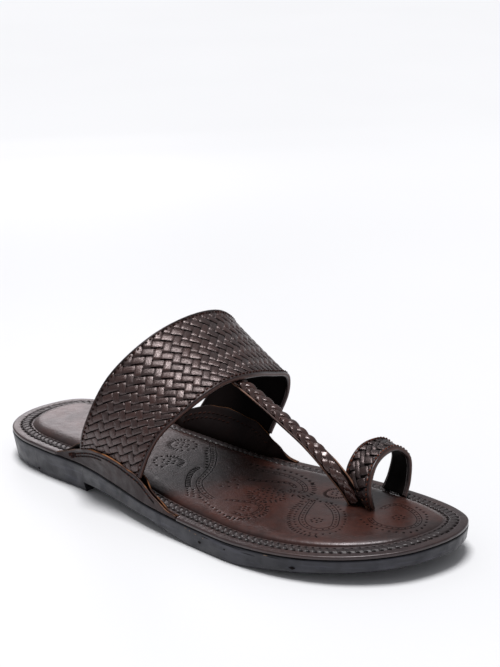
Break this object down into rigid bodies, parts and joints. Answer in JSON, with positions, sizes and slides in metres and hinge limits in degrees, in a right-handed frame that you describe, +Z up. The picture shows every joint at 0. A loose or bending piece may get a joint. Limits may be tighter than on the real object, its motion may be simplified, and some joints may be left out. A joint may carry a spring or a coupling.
{
  "type": "kolhapuri sandal",
  "caption": "Right kolhapuri sandal with a woven leather instep strap, a braided thong and a woven toe ring on a padded leather footbed and a low rubber sole.",
  "frame": {"origin": "centre of the sandal's bounding box in plan, on the floor under the sole", "axes": "+X towards the toe, +Y towards the medial (big toe) side, +Z up"},
  "size_m": [0.2866, 0.1198, 0.0901],
  "materials": {
    "rubber": "moulded charcoal rubber, matt with a faint sheen",
    "insole_leather": "burnished vegetable-tanned leather, satin",
    "footbed_leather": "polished dark brown leather with a soft gloss",
    "woven_leather": "woven dark brown leather strips, glossy on their crowns",
    "ear_leather": "two-ply dark brown leather with raw tan edges"
  },
  "bodies": {
    "root": {"outsole": "rubber", "insole": "insole_leather", "footbed": "footbed_leather", "upper": "woven_leather", "ear_lateral": "ear_leather", "ear_medial": "ear_leather"}
  },
  "joints": []
}
